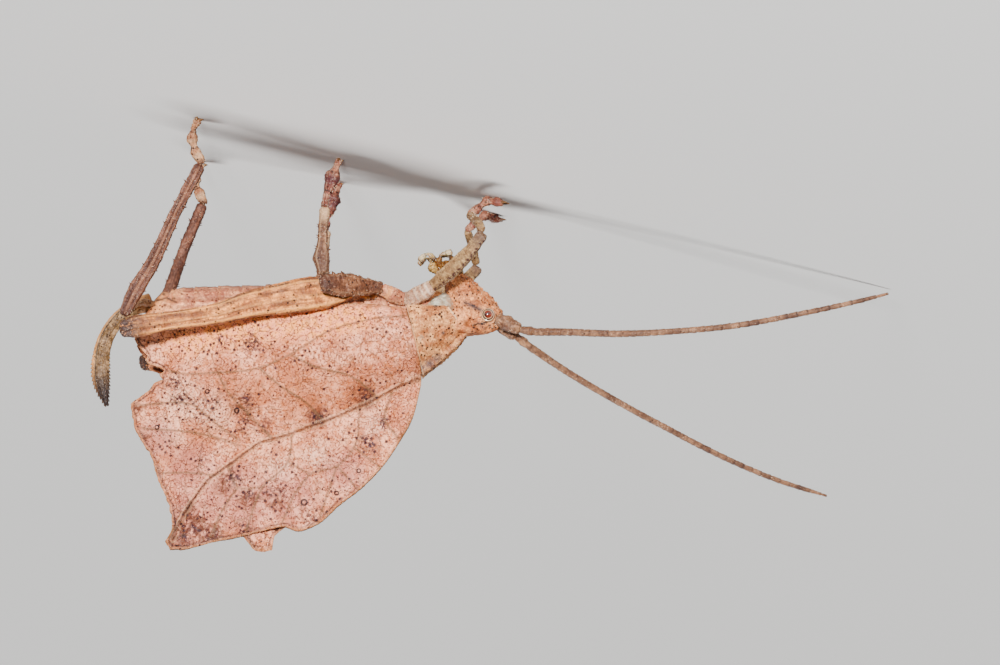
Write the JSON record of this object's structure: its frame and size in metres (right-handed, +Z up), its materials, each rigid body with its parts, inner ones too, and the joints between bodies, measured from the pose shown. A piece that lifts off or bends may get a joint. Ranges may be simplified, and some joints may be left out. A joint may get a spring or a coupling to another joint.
{
  "type": "typophyllum laciniosum, leaf-mimic katydid, female",
  "caption": "Life-size leaf-mimic katydid, a female with upright leaf-shaped forewings, long feelers and a sickle-shaped ovipositor, standing on its six feet.",
  "frame": {"origin": "centre of the bounding box's base, on the floor under the feet", "axes": "+Z up, -X towards the head and +X towards the ovipositor, the insect's left side at -Y"},
  "size_m": [0.061, 0.0204, 0.0327],
  "materials": {
    "head": "matte tan cuticle with rows of dark pits",
    "eye": "glossy dark red-brown",
    "mouthparts": "golden, slightly see-through cuticle",
    "antenna": "matte tan with paler rings",
    "pronotum": "matte orange-tan cuticle with dark pits and a pale rim",
    "body": "matte pinkish cuticle",
    "ovipositor": "satin straw and olive brown, nearly black at its toothed tip",
    "cercus": "matte straw",
    "wing": "dry, matte, salmon pink like a dead leaf, with fine mottling and brown veins",
    "fore_leg": "satin olive-tan with dark red-brown dots",
    "mid_leg": "matte grey-brown with a purple cast",
    "hind_leg": "matte orange-tan with long grey-brown streaks"
  },
  "bodies": {
    "root": {"head": "head", "mouthparts": "mouthparts", "pronotum": "pronotum", "thorax": "body", "abdomen": "body", "ovipositor": "ovipositor", "eye_left": "eye", "scape_left": "antenna", "flagellum_base_left": "antenna", "flagellum_tip_left": "antenna", "cercus_left": "cercus", "tegmen_left": "wing", "fore_coxa_left": "fore_leg", "fore_femur_left": "fore_leg", "fore_tibia_left": "fore_leg", "fore_tarsus_left": "fore_leg", "mid_coxa_left": "mid_leg", "mid_femur_left": "mid_leg", "mid_tibia_left": "mid_leg", "mid_tarsus_left": "mid_leg", "hind_coxa_left": "hind_leg", "hind_femur_left": "hind_leg", "hind_tibia_left": "hind_leg", "hind_tarsus_left": "hind_leg", "eye_right": "eye", "scape_right": "antenna", "flagellum_base_right": "antenna", "flagellum_tip_right": "antenna", "cercus_right": "cercus", "tegmen_right": "wing", "fore_coxa_right": "fore_leg", "fore_femur_right": "fore_leg", "fore_tibia_right": "fore_leg", "fore_tarsus_right": "fore_leg", "mid_coxa_right": "mid_leg", "mid_femur_right": "mid_leg", "mid_tibia_right": "mid_leg", "mid_tarsus_right": "mid_leg", "hind_coxa_right": "hind_leg", "hind_femur_right": "hind_leg", "hind_tibia_right": "hind_leg", "hind_tarsus_right": "hind_leg"}
  },
  "joints": []
}
